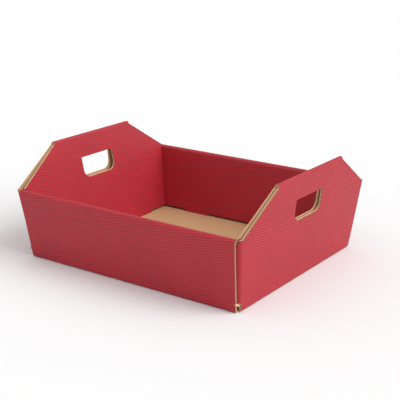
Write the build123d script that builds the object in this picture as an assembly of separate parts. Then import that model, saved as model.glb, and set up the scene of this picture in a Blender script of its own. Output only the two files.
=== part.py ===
"""Open tray folded from one sheet of corrugated board.

Every wall is double: an outer panel rises from the base, rolls over at the rim and comes back
down inside. The two end walls stand higher than the long walls and have hand holes. The end
walls carry on round the corners as flaps that are tucked between the panels of the long walls.

Millimetres. Origin at the middle of the underside, X along the long walls, Y across, Z up.
"""
from build123d import *
import os
from math import asin, atan2, cos, hypot, pi, radians, sin, tan

# The board and its creases
BOARD = 3.0
CREASE_INSIDE_RADIUS = 1.0
SLIP = 0.5  # room between two panels that slide past each other

# The base
BASE_LENGTH = 396.0
BASE_WIDTH = 338.0

# The long walls, at the front and the back
LONG_WALL_HEIGHT = 113.0
LONG_WALL_LEAN = 8.5  # degrees outwards
LONG_RIM_GAP = 6.0  # clear width inside the rolled rim
LONG_FOOT_GAP = 9.5  # clear width between the two panels at the underside
LONG_END_INSET_FOOT = 4.0  # from the end wall's outer face to the long panels' cut ends
LONG_END_INSET_RIM = 8.5

# The end walls, at the left and the right
END_WALL_HEIGHT = 171.5
END_WALL_LEAN = 6.0  # degrees outwards
END_RIM_LENGTH = 188.0  # straight top between the chamfers
END_RIM_GAP = 2.0
LEFT_FOOT_GAP = 19.0
RIGHT_FOOT_GAP = 5.0
CHAMFER_FOOT_INSET = 8.5  # from the long wall's outer face to the foot of the chamfer

# The hand holes
HOLE_WIDTH = 78.0
HOLE_HEIGHT = 34.5
HOLE_BOTTOM = 100.0
HOLE_LOWER_RADIUS = 14.0

# The corner flaps
FLAP_LENGTH = 90.0
FLAP_TOP_DROP = 6.5  # below the long rim
FLAP_BOTTOM = 15.0

# The inner panels' lower edges and their locking tabs
PANEL_LIFT = 3.4  # between the base's upper face and the panel's lower edge
TAB_LENGTH = 50.0
LONG_TAB_CENTRE = 103.0
END_TAB_CENTRE = 88.0
TAB_RECESS = 0.4  # tab ends stop this far above the underside

CREASE_OUTSIDE_RADIUS = CREASE_INSIDE_RADIUS + BOARD
HALF_LENGTH = BASE_LENGTH / 2
HALF_WIDTH = BASE_WIDTH / 2
CREASE_OVERLAP = 2 * CREASE_OUTSIDE_RADIUS  # how far a wall's section reaches into the base
FAR = BASE_LENGTH + BASE_WIDTH + END_WALL_HEIGHT  # longer than anything on the tray


class DoubleWall:
    """The section of a folded wall. u runs outwards from the tray's middle and z runs up."""

    def __init__(self, half_span, lean, height, rim_gap, foot_gap):
        self.half_span = half_span
        self.lean = radians(lean)
        self.rim_radius = BOARD + rim_gap / 2
        self.rim_z = height - self.rim_radius
        self.rim_u = half_span + tan(self.lean) * self.rim_z - self.rim_radius / cos(self.lean)
        self.inner_foot = half_span - 2 * BOARD - foot_gap
        across = self.rim_u - self.inner_foot
        self.inner_lean = atan2(across, self.rim_z) - asin(self.rim_radius / hypot(across, self.rim_z))

    def outer_face(self, z):
        return self.half_span + tan(self.lean) * z

    def inner_face(self, z):
        return self.inner_foot + tan(self.inner_lean) * z

    def on_rim(self, radius, angle):
        """A point on a circle round the rim's centre, its angle measured from u towards z."""
        return (self.rim_u + radius * cos(angle), self.rim_z + radius * sin(angle))

    def outer_section(self):
        """The crease at the base, the outer panel and the rolled rim."""
        start = -self.lean
        stop = pi - self.inner_lean
        inside_radius = self.rim_radius - BOARD
        stub = self.half_span - CREASE_OVERLAP
        inside_corner = self.outer_face(BOARD) - BOARD / cos(self.lean)
        outside = FilletPolyline(
            (stub, 0), (self.half_span, 0), self.on_rim(self.rim_radius, start),
            radius=CREASE_OUTSIDE_RADIUS,
        )
        inside = FilletPolyline(
            (stub, BOARD), (inside_corner, BOARD), self.on_rim(inside_radius, start),
            radius=CREASE_INSIDE_RADIUS,
        )
        middle = (start + stop) / 2
        rim_outside = ThreePointArc(*(self.on_rim(self.rim_radius, a) for a in (start, middle, stop)))
        rim_inside = ThreePointArc(*(self.on_rim(inside_radius, a) for a in (start, middle, stop)))
        stub_end = Line((stub, 0), (stub, BOARD))
        rim_end = Line(self.on_rim(self.rim_radius, stop), self.on_rim(inside_radius, stop))
        return make_face([outside, rim_outside, rim_end, rim_inside, inside, stub_end])

    def inner_section(self, low, grow=0.0, high=None):
        """The inner panel from height low up to the rolled rim, or up to height high."""
        across = BOARD / cos(self.inner_lean)
        if high is None:
            stop = pi - self.inner_lean
            top = [self.on_rim(self.rim_radius, stop), self.on_rim(self.rim_radius - BOARD, stop)]
        else:
            top = [(self.inner_face(high) - grow, high), (self.inner_face(high) + across + grow, high)]
        foot = [(self.inner_face(low) + across + grow, low), (self.inner_face(low) - grow, low)]
        return make_face(Polyline(*top, *foot, close=True))


long_wall = DoubleWall(HALF_WIDTH, LONG_WALL_LEAN, LONG_WALL_HEIGHT, LONG_RIM_GAP, LONG_FOOT_GAP)
right_wall = DoubleWall(HALF_LENGTH, END_WALL_LEAN, END_WALL_HEIGHT, END_RIM_GAP, RIGHT_FOOT_GAP)
left_wall = DoubleWall(HALF_LENGTH, END_WALL_LEAN, END_WALL_HEIGHT, END_RIM_GAP, LEFT_FOOT_GAP)


def along_x(section, half_length):
    """Extrude a section drawn in Y and Z both ways along X."""
    return extrude(Plane.YZ * section, amount=half_length, both=True)


def along_y(section, half_length):
    """Extrude a section drawn in X and Z both ways along Y."""
    return extrude(Plane.XZ * section, amount=half_length, both=True)


def mirrored_outline(right_side):
    """A closed outline from its right-hand points, listed from bottom to top."""
    left_side = [(-across, up) for across, up in reversed(right_side)]
    return make_face(Polyline(*right_side, *left_side, close=True))


def flap_face(z):
    """Y of the outer face of the corner flaps, just inside the long walls' outer panels."""
    return long_wall.outer_face(z) - (BOARD + SLIP) / cos(long_wall.lean)


def end_chamfer(from_z):
    """Points of the end walls' outline from height from_z, on the chamfer, up over the rim."""
    foot = long_wall.outer_face(LONG_WALL_HEIGHT) - CHAMFER_FOOT_INSET
    top = END_RIM_LENGTH / 2
    share = (from_z - LONG_WALL_HEIGHT) / (right_wall.rim_z - LONG_WALL_HEIGHT)
    start = foot + (top - foot) * share
    return [(start, from_z), (top, right_wall.rim_z), (top, END_WALL_HEIGHT + BOARD)]


def end_outer_outline():
    """The end walls' outer panel and rim, as far as the corner creases."""
    sides = [(flap_face(z) - CREASE_OUTSIDE_RADIUS, z) for z in (0.0, LONG_WALL_HEIGHT)]
    return mirrored_outline(sides + end_chamfer(LONG_WALL_HEIGHT))


def end_inner_outline():
    """The end walls' inner panel, between the long walls and stepped out above their rims."""
    shoulder = LONG_WALL_HEIGHT + SLIP
    sides = [(long_wall.inner_face(z) - SLIP, z) for z in (0.0, shoulder)]
    return mirrored_outline(sides + end_chamfer(shoulder))


def long_outline():
    """The long walls' panels, with cut ends that stop short of the end walls' outer face."""
    foot = (right_wall.outer_face(0.0) - LONG_END_INSET_FOOT, 0.0)
    rim = (right_wall.outer_face(LONG_WALL_HEIGHT) - LONG_END_INSET_RIM, LONG_WALL_HEIGHT)
    slope = (rim[0] - foot[0]) / (rim[1] - foot[1])
    above = (rim[0] + slope * BOARD, rim[1] + BOARD)
    return mirrored_outline([foot, above])


def hand_hole():
    outline = Pos(0, HOLE_BOTTOM + HOLE_HEIGHT / 2) * Rectangle(HOLE_WIDTH, HOLE_HEIGHT)
    lower_corners = outline.vertices().sort_by(Axis.Y)[:2]
    return along_x(fillet(lower_corners, HOLE_LOWER_RADIUS), FAR)


def build_end_wall(wall):
    """One end wall on the +X side."""
    outer = along_y(wall.outer_section(), FAR) & along_x(end_outer_outline(), FAR)
    panel_low = BOARD + PANEL_LIFT
    inner = along_y(wall.inner_section(panel_low), FAR) & along_x(end_inner_outline(), FAR)
    return outer + inner - hand_hole()


def build_long_wall(wall):
    """One long wall on the +Y side."""
    outer = along_x(wall.outer_section(), FAR)
    inner = along_x(wall.inner_section(BOARD + PANEL_LIFT), FAR)
    return (outer + inner) & along_y(long_outline(), FAR)


def tab_pair(wall, extrude_section, places):
    """The two tabs below an inner panel."""
    section = wall.inner_section(TAB_RECESS, high=BOARD + PANEL_LIFT)
    tab = extrude_section(section, TAB_LENGTH / 2)
    return [Pos(*place) * tab for place in places]


def slot_pair(wall, extrude_section, places):
    """Cutters for the two slots in the base that take the tabs."""
    section = wall.inner_section(-SLIP, grow=SLIP, high=BOARD + SLIP)
    slot = extrude_section(section, TAB_LENGTH / 2 + SLIP)
    return [Pos(*place) * slot for place in places]


def corner_block(inset, radius):
    """A leaning block bounded by the end walls' and the flaps' outer faces, moved in by inset."""
    top = END_WALL_HEIGHT

    def outline(face, lean):
        return mirrored_outline([(face(z) - inset / cos(lean), z) for z in (0.0, top)])

    block = along_y(outline(right_wall.outer_face, right_wall.lean), FAR)
    block &= along_x(outline(flap_face, long_wall.lean), FAR)
    upright = [edge for edge in block.edges() if abs(edge.tangent_at(0.5).Z) > 0.5]
    return fillet(upright, radius)


def build_corner_flaps():
    """The four corner creases and the flaps that carry on behind the long walls' outer panels."""
    band = corner_block(0.0, CREASE_OUTSIDE_RADIUS) - corner_block(BOARD, CREASE_INSIDE_RADIUS)
    end_leg_start = flap_face(0.0) - CREASE_OVERLAP
    flap_top = LONG_WALL_HEIGHT - FLAP_TOP_DROP
    crease_start = right_wall.outer_face(flap_top) - CREASE_OUTSIDE_RADIUS
    flaps = None
    for side_x in (-1, 1):
        for side_y in (-1, 1):
            reach_x = HALF_LENGTH - FLAP_LENGTH
            keep = Box(FAR, FAR, LONG_WALL_HEIGHT - FLAP_BOTTOM, align=Align.MIN)
            keep = Pos(reach_x, end_leg_start, FLAP_BOTTOM) * keep
            drop = Box(crease_start, FAR, FAR, align=Align.MIN)
            keep -= Pos(0, 0, flap_top) * drop
            if side_x < 0:
                keep = mirror(keep, Plane.YZ)
            if side_y < 0:
                keep = mirror(keep, Plane.XZ)
            flap = band & keep
            flaps = flap if flaps is None else flaps + flap
    return flaps


def build_tray():
    plate = Box(
        BASE_LENGTH - CREASE_OVERLAP, BASE_WIDTH - CREASE_OVERLAP, BOARD,
        align=(Align.CENTER, Align.CENTER, Align.MIN),
    )
    half_turn = Rot(0, 0, 180)
    long_places = [(LONG_TAB_CENTRE, 0, 0), (-LONG_TAB_CENTRE, 0, 0)]
    end_places = [(0, END_TAB_CENTRE, 0), (0, -END_TAB_CENTRE, 0)]
    walls = [
        (long_wall, build_long_wall, along_x, Rot(), long_places),
        (long_wall, build_long_wall, along_x, half_turn, long_places),
        (right_wall, build_end_wall, along_y, Rot(), end_places),
        (left_wall, build_end_wall, along_y, half_turn, end_places),
    ]
    tray = plate
    for wall, build, extrude_section, turn, places in walls:
        tray += turn * build(wall)
    for wall, build, extrude_section, turn, places in walls:
        for slot in slot_pair(wall, extrude_section, places):
            tray -= turn * slot
        for tab in tab_pair(wall, extrude_section, places):
            tray += turn * tab
    return tray + build_corner_flaps()


os.makedirs("parts", exist_ok=True)
tray_box = build_tray()
export_step(tray_box, "parts/tray_box.step")
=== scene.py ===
from math import acos, atan2, copysign, cos, hypot, pi, radians, sin, sqrt, tan, tau

import bpy
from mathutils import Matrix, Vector


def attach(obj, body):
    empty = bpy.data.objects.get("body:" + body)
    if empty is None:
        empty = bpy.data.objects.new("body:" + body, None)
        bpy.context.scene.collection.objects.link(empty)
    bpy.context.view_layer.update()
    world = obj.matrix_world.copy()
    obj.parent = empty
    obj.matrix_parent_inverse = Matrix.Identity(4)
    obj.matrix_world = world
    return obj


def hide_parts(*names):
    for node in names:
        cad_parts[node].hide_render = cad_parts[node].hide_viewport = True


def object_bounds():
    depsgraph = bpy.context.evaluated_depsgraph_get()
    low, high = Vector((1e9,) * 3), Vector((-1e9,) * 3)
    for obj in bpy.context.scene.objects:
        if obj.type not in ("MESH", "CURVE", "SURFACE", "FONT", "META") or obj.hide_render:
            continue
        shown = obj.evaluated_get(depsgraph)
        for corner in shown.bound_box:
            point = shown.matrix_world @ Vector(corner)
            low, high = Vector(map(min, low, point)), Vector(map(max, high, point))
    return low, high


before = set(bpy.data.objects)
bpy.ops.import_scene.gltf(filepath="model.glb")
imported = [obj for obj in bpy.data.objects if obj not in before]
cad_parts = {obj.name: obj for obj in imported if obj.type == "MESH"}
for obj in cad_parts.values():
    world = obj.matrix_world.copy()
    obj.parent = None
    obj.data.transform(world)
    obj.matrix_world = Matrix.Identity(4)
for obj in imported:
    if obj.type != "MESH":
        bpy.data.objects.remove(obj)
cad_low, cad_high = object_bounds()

# The folded board, in metres
BOARD = 0.003
BASE_LENGTH = 0.396
BASE_WIDTH = 0.338
LONG_WALL_HEIGHT = 0.113
LONG_WALL_LEAN = radians(8.5)
LONG_RIM_RADIUS = 0.006
END_WALL_HEIGHT = cad_high[2]
END_WALL_LEAN = radians(6)
END_RIM_RADIUS = 0.004

# Cut edges: two paper liners with a fluted core between them
LINER = 0.0004
CORE_RECESS = 0.0005
CUT_ROUNDING = 0.00015
FLUTE_PITCH = 0.0064

# The print: fine slanting lines in level bands that lean one way and then the other
BAND_HEIGHT = 0.0435
LINE_PITCH = 0.00415
LINE_RUN = 0.0285  # a line climbs by one pitch over this length

# The sheet's material slots
PRINTED, KRAFT, CUT = range(3)

# Where one side of the sheet ends: turns at its creases are gentler than at its cut edges
PRINTED_SHARPEST_TURN = radians(40)
KRAFT_SHARPEST_TURN = radians(70)

# Turns between faces: gentle ones are shaded smooth, and sharp ones are rounded off
SMOOTH_BELOW = radians(35)
ROUND_ABOVE = radians(60)

# The part of each end wall whose cut edges run along Y
END_PANEL_DEPTH = 0.03  # inwards from the base's end
END_PANEL_HALF_WIDTH = 0.16

# The studio
FLOOR_SIZE = 30
FLOOR_DROP = 0.0002  # keeps the floor clear of the underside
SKY_STRENGTH = 0.8
SUN_ENERGY = 2.2
SUN_SPREAD = radians(50)
SUN_DIRECTION = (0.75, 0.15, 0.64)

# The camera
CAMERA_AZIMUTH = radians(35.28)
CAMERA_ELEVATION = radians(17.42)
CAMERA_DISTANCE = 1.53826
CAMERA_AIM = (0.01407, 0, 0.08895)
LENS = 86.75
SENSOR_WIDTH = 36


# ---------------------------------------------------------------- shader maths

class Amount:
    """A number, colour or vector that varies over a surface. Its sums add Math nodes."""

    def __init__(self, finish, socket):
        self.finish = finish
        self.socket = socket

    def math(self, operation, *values):
        inputs = dict(enumerate((self, *values)))
        return self.finish.node("ShaderNodeMath", {"operation": operation}, inputs)

    def __add__(self, other):
        return self.math("ADD", other)

    def __radd__(self, other):
        return self.math("ADD", other)

    def __sub__(self, other):
        return self.math("SUBTRACT", other)

    def __rsub__(self, other):
        return (self * -1).math("ADD", other)

    def __mul__(self, other):
        return self.math("MULTIPLY", other)

    def __rmul__(self, other):
        return self.math("MULTIPLY", other)

    def __truediv__(self, other):
        return self.math("DIVIDE", other)

    def clamped(self):
        return self.math("MAXIMUM", 0).math("MINIMUM", 1)

    def ramp(self, low, high):
        """0 where this is below low, 1 where it is above high, and smooth between."""
        settings = {"interpolation_type": "SMOOTHSTEP"}
        return self.finish.node("ShaderNodeMapRange", settings, {0: self, 1: low, 2: high})


class Finish:
    """One material, built up node by node on a Principled shader."""

    def __init__(self, name):
        self.material = bpy.data.materials.new(name)
        self.material.use_nodes = True
        self.nodes = self.material.node_tree.nodes
        self.links = self.material.node_tree.links
        self.shader = self.nodes["Principled BSDF"]

    def node(self, kind, settings=None, inputs=None, output=0):
        """Adds a node. Its settings come first, then the values or links of its sockets."""
        node = self.nodes.new(kind)
        for name, value in (settings or {}).items():
            setattr(node, name, value)
        self.fill(node, inputs or {})
        return Amount(self, node.outputs[output])

    def fill(self, node, inputs):
        for key, value in inputs.items():
            if isinstance(value, Amount):
                self.links.new(value.socket, node.inputs[key])
            else:
                node.inputs[key].default_value = value

    def place(self):
        """Where a point is on the object."""
        return self.node("ShaderNodeTexCoord", output="Object")

    def flat_place(self):
        """Where a point is on the board laid flat."""
        return self.node("ShaderNodeUVMap", {"uv_map": "board"})

    def parts(self, vector):
        split = self.node("ShaderNodeSeparateXYZ", inputs={0: vector}).socket.node
        return [Amount(self, out) for out in split.outputs]

    def vector(self, x, y, z):
        return self.node("ShaderNodeCombineXYZ", inputs={0: x, 1: y, 2: z})

    def noise(self, vector, scale, detail=2.0, roughness=0.5):
        inputs = {"Vector": vector, "Scale": scale, "Detail": detail, "Roughness": roughness}
        return self.node("ShaderNodeTexNoise", inputs=inputs)

    def mix(self, share, first, second):
        """A colour between two colours."""
        inputs = {0: share, 6: first, 7: second}
        return self.node("ShaderNodeMix", {"data_type": "RGBA"}, inputs, output=2)

    def bump(self, height, distance, strength=1.0):
        inputs = {"Height": height, "Distance": distance, "Strength": strength}
        return self.node("ShaderNodeBump", inputs=inputs)


def print_lines(finish):
    """The print's wave, 1 on its dark lines and -1 between, and the dashes that break it up."""
    along, up, _ = finish.parts(finish.flat_place())
    band = up / BAND_HEIGHT
    leaning_back = band.math("FLOORED_MODULO", 2).math("GREATER_THAN", 1)
    lean = 1 - 2 * leaning_back
    turns = up / LINE_PITCH + lean * along / LINE_RUN
    wave = (turns * tau).math("SINE")
    dashes = finish.noise(finish.vector(along * 45, turns * 0.9, lean), 1.0, 2.0)
    return wave, dashes


def printed_paper():
    """Red print over the white-lined face of the board."""
    finish = Finish("red_print")
    wave, dashes = print_lines(finish)
    lines = wave.ramp(-0.75, 0.95) * (0.55 + 0.9 * dashes)
    place = finish.place()
    clouds = finish.noise(place, 16.0, 3.0).ramp(0.3, 0.7)
    fibres = finish.noise(place, 900.0, 3.0, 0.7)
    deep = (0.285, 0.008, 0.018, 1)
    bright = (0.46, 0.016, 0.030, 1)
    shade = (0.72 * lines + 0.18 * clouds + 0.25 * (fibres - 0.5)).clamped()
    height = 0.6 * (1 - lines) + 0.25 * fibres
    finish.fill(finish.shader, {
        "Base Color": finish.mix(shade, bright, deep),
        "Roughness": (0.44 + 0.12 * lines + 0.08 * fibres).clamped(),
        "Normal": finish.bump(height, 0.00006),
        "Specular IOR Level": 0.45,
    })
    return finish.material


def kraft_paper():
    """The bare brown liner, with fibres, flecks and the flutes faintly showing through."""
    finish = Finish("bare_kraft")
    place = finish.place()
    x, y, z = finish.parts(place)
    clouds = finish.noise(place, 22.0, 4.0)
    fibres = finish.noise(finish.vector(x * 260, y * 900, z * 900), 1.0, 3.0, 0.65)
    flecks = finish.noise(place, 520.0, 2.0).ramp(0.66, 0.74)
    flutes = (y * (tau / FLUTE_PITCH)).math("SINE")
    light = (0.62, 0.385, 0.205, 1)
    dark = (0.44, 0.255, 0.125, 1)
    shade = 0.45 + 0.5 * (clouds - 0.5) + 0.5 * (fibres - 0.5) + 0.07 * flutes + 0.35 * flecks
    height = 0.5 * fibres + 0.8 * flutes
    finish.fill(finish.shader, {
        "Base Color": finish.mix(shade.clamped(), light, dark),
        "Roughness": (0.78 + 0.2 * (fibres - 0.5)).clamped(),
        "Normal": finish.bump(height, 0.00005),
        "Specular IOR Level": 0.25,
    })
    return finish.material


def cut_board():
    """The board's cut edge: paper liners at both faces and the fluted paper between, with
    painted shade in the hollows between them.
    """
    finish = Finish("cut_edge")
    across_flutes, depth, _ = finish.parts(finish.flat_place())
    fibres = finish.noise(finish.place(), 1400.0, 2.0)
    flute = 0.5 + 0.33 * (across_flutes * (tau / FLUTE_PITCH)).math("SINE")
    off_flute = (depth - flute).math("ABSOLUTE")
    from_face = 0.5 - (depth - 0.5).math("ABSOLUTE")
    liner = 1 - from_face.ramp(0.12, 0.16)
    paper = liner.math("MAXIMUM", 1 - off_flute.ramp(0.10, 0.17))
    light = (0.80, 0.53, 0.33, 1)
    # The dark colour is painted shade: it fills the hollows between the flute and the liners,
    # where there is no paper.
    dark = (0.30, 0.17, 0.085, 1)
    share = (paper * (0.85 + 0.3 * (fibres - 0.5))).clamped()
    finish.fill(finish.shader, {
        "Base Color": finish.mix(share, dark, light),
        "Roughness": (0.86 + 0.2 * (fibres - 0.5)).clamped(),
        "Normal": finish.bump(paper + 0.3 * fibres, 0.00015),
        "Specular IOR Level": 0.2,
    })
    return finish.material


# ---------------------------------------------------------------- the folded sheet

def copy_of_node(name, node):
    """A copy of a CAD node's mesh, with its loose triangles merged into one skin."""
    piece = bpy.data.objects.new(name, node.data.copy())
    bpy.context.scene.collection.objects.link(piece)
    bpy.ops.object.select_all(action="DESELECT")
    bpy.context.view_layer.objects.active = piece
    piece.select_set(True)
    bpy.ops.object.mode_set(mode="EDIT")
    bpy.ops.mesh.select_all(action="SELECT")
    bpy.ops.mesh.remove_doubles(threshold=1e-6)
    bpy.ops.mesh.select_all(action="DESELECT")
    bpy.ops.object.mode_set(mode="OBJECT")
    return piece


def faces_reached_from(piece, seed, sharpest):
    """One side of the sheet: the faces that join seed with no turn sharper than sharpest."""
    for face in piece.data.polygons:
        face.select = face.index == seed
    bpy.ops.object.mode_set(mode="EDIT")
    bpy.ops.mesh.select_mode(type="FACE")
    bpy.ops.mesh.faces_select_linked_flat(sharpness=sharpest)
    bpy.ops.object.mode_set(mode="OBJECT")
    return [face.index for face in piece.data.polygons if face.select]


def middle_face(piece, up, height):
    """The level face nearest to the base's middle, looking up or down."""
    def off_middle(face):
        return hypot(face.center.x, face.center.y) + 100 * abs(face.center.z - height)

    level = [face for face in piece.data.polygons if face.normal.z * up > 0.99]
    return min(level, key=off_middle).index


def tell_sides_apart(piece):
    """Gives the printed side, the kraft side and the cut edges a material slot each."""
    printed = faces_reached_from(piece, middle_face(piece, -1, 0.0), PRINTED_SHARPEST_TURN)
    kraft = faces_reached_from(piece, middle_face(piece, 1, BOARD), KRAFT_SHARPEST_TURN)
    faces = piece.data.polygons
    for face in faces:
        face.material_index = CUT
    for index in kraft:
        faces[index].material_index = KRAFT
    for index in printed:
        faces[index].material_index = PRINTED


class Wall:
    """One rolled wall. It gives where a point lies on the board when that is laid flat."""

    def __init__(self, outwards, along, half_span, height, lean, radius):
        self.outwards = Vector(outwards)
        self.along = Vector(along)
        self.lean = lean
        self.radius = radius
        self.rim_up = height - radius
        self.rim_out = half_span + tan(lean) * self.rim_up - radius / cos(lean)

    def flat(self, point):
        """The way along the wall, and the board's length from the rim's top, negative inside."""
        out = point.dot(self.outwards) - self.rim_out
        up = point.z - self.rim_up
        across = out * cos(self.lean) - up * sin(self.lean)
        rise = out * sin(self.lean) + up * cos(self.lean)
        reach = max(hypot(across, rise), self.radius)
        turned = abs(atan2(-across, rise)) - acos(self.radius / reach)
        length = self.radius * turned + sqrt(reach ** 2 - self.radius ** 2)
        return point.dot(self.along), copysign(length, across)


LONG = (BASE_WIDTH / 2, LONG_WALL_HEIGHT, LONG_WALL_LEAN, LONG_RIM_RADIUS)
END = (BASE_LENGTH / 2, END_WALL_HEIGHT, END_WALL_LEAN, END_RIM_RADIUS)
FRONT_WALL = Wall((0, -1, 0), (1, 0, 0), *LONG)
BACK_WALL = Wall((0, 1, 0), (1, 0, 0), *LONG)
LEFT_WALL = Wall((-1, 0, 0), (0, 1, 0), *END)
RIGHT_WALL = Wall((1, 0, 0), (0, 1, 0), *END)


def wall_of(face):
    if abs(face.normal.x) > abs(face.normal.y):
        return RIGHT_WALL if face.center.x > 0 else LEFT_WALL
    return BACK_WALL if face.center.y > 0 else FRONT_WALL


def lay_board_flat(piece):
    """The map that the print and the cut edges follow."""
    mesh = piece.data
    uv = mesh.uv_layers.new(name="board").data
    printed_points = set()
    for face in mesh.polygons:
        if face.material_index == PRINTED:
            printed_points.update(face.vertices)
    for face in mesh.polygons:
        for corner in face.loop_indices:
            index = mesh.loops[corner].vertex_index
            point = mesh.vertices[index].co
            if face.material_index == CUT:
                near_end = abs(point.x) > BASE_LENGTH / 2 - END_PANEL_DEPTH
                on_end_wall = near_end and abs(point.y) < END_PANEL_HALF_WIDTH
                across_flutes = point.y if on_end_wall or point.z < 2 * BOARD else point.z
                uv[corner].uv = (across_flutes, 0.0 if index in printed_points else 1.0)
            elif abs(face.normal.z) > 0.7 and face.center.z < 2 * BOARD:
                uv[corner].uv = (point.x, point.y)
            else:
                uv[corner].uv = wall_of(face).flat(point)


def set_core_back(piece):
    """Leaves the liners standing at the cut edges, with the core a little behind them."""
    for face in piece.data.polygons:
        face.select = face.material_index == CUT
    bpy.ops.object.mode_set(mode="EDIT")
    bpy.ops.mesh.select_mode(type="FACE")
    bpy.ops.mesh.inset(thickness=LINER, depth=-CORE_RECESS, use_even_offset=True)
    bpy.ops.mesh.select_all(action="DESELECT")
    bpy.ops.object.mode_set(mode="OBJECT")


def finish_shape(piece):
    """Rounds the cut edges a little, and shades flats as flat and rolls as round."""
    rounding = piece.modifiers.new("rounding", "BEVEL")
    rounding.width = CUT_ROUNDING
    rounding.segments = 2
    rounding.limit_method = "ANGLE"
    rounding.angle_limit = ROUND_ABOVE
    bpy.ops.object.modifier_apply(modifier=rounding.name)
    bpy.ops.object.shade_smooth_by_angle(angle=SMOOTH_BELOW)
    flats = piece.modifiers.new("flats", "WEIGHTED_NORMAL")
    flats.keep_sharp = True
    flats.weight = 100
    bpy.ops.object.modifier_apply(modifier=flats.name)


def build_tray_sheet():
    piece = copy_of_node("tray_sheet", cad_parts["tray_box"])
    piece.data.materials.clear()
    for material in (printed_paper(), kraft_paper(), cut_board()):
        piece.data.materials.append(material)
    tell_sides_apart(piece)
    lay_board_flat(piece)
    set_core_back(piece)
    finish_shape(piece)
    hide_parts("tray_box")
    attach(piece, "root")


build_tray_sheet()


# ---------------------------------------------------------------- the studio

def build_floor():
    bpy.ops.mesh.primitive_plane_add(size=FLOOR_SIZE, location=(0, 0, -FLOOR_DROP))
    floor = bpy.context.object
    floor.name = "floor"
    finish = Finish("pale_floor")
    finish.fill(finish.shader, {
        "Base Color": (0.8, 0.8, 0.8, 1),
        "Roughness": 0.9,
        "Specular IOR Level": 0.1,
    })
    floor.data.materials.append(finish.material)


def build_lights():
    scene = bpy.context.scene
    world = bpy.data.worlds.new("studio")
    scene.world = world
    world.use_nodes = True
    background = world.node_tree.nodes["Background"]
    background.inputs["Color"].default_value = (1, 1, 1, 1)
    background.inputs["Strength"].default_value = SKY_STRENGTH
    sun = bpy.data.lights.new("key", "SUN")
    sun.energy = SUN_ENERGY
    sun.angle = SUN_SPREAD
    lamp = bpy.data.objects.new("key", sun)
    lamp.rotation_euler = Vector(SUN_DIRECTION).to_track_quat("Z", "Y").to_euler()
    scene.collection.objects.link(lamp)


def build_camera():
    out = cos(CAMERA_ELEVATION)
    back = Vector((sin(CAMERA_AZIMUTH) * out, -cos(CAMERA_AZIMUTH) * out, sin(CAMERA_ELEVATION)))
    lens = bpy.data.cameras.new("camera")
    lens.sensor_width = SENSOR_WIDTH
    lens.lens = LENS
    camera = bpy.data.objects.new("camera", lens)
    camera.location = Vector(CAMERA_AIM) + back * CAMERA_DISTANCE
    camera.rotation_euler = (pi / 2 - CAMERA_ELEVATION, 0, CAMERA_AZIMUTH)
    bpy.context.scene.collection.objects.link(camera)
    bpy.context.scene.camera = camera


build_floor()
build_lights()
build_camera()
bpy.context.scene.view_settings.view_transform = "Standard"
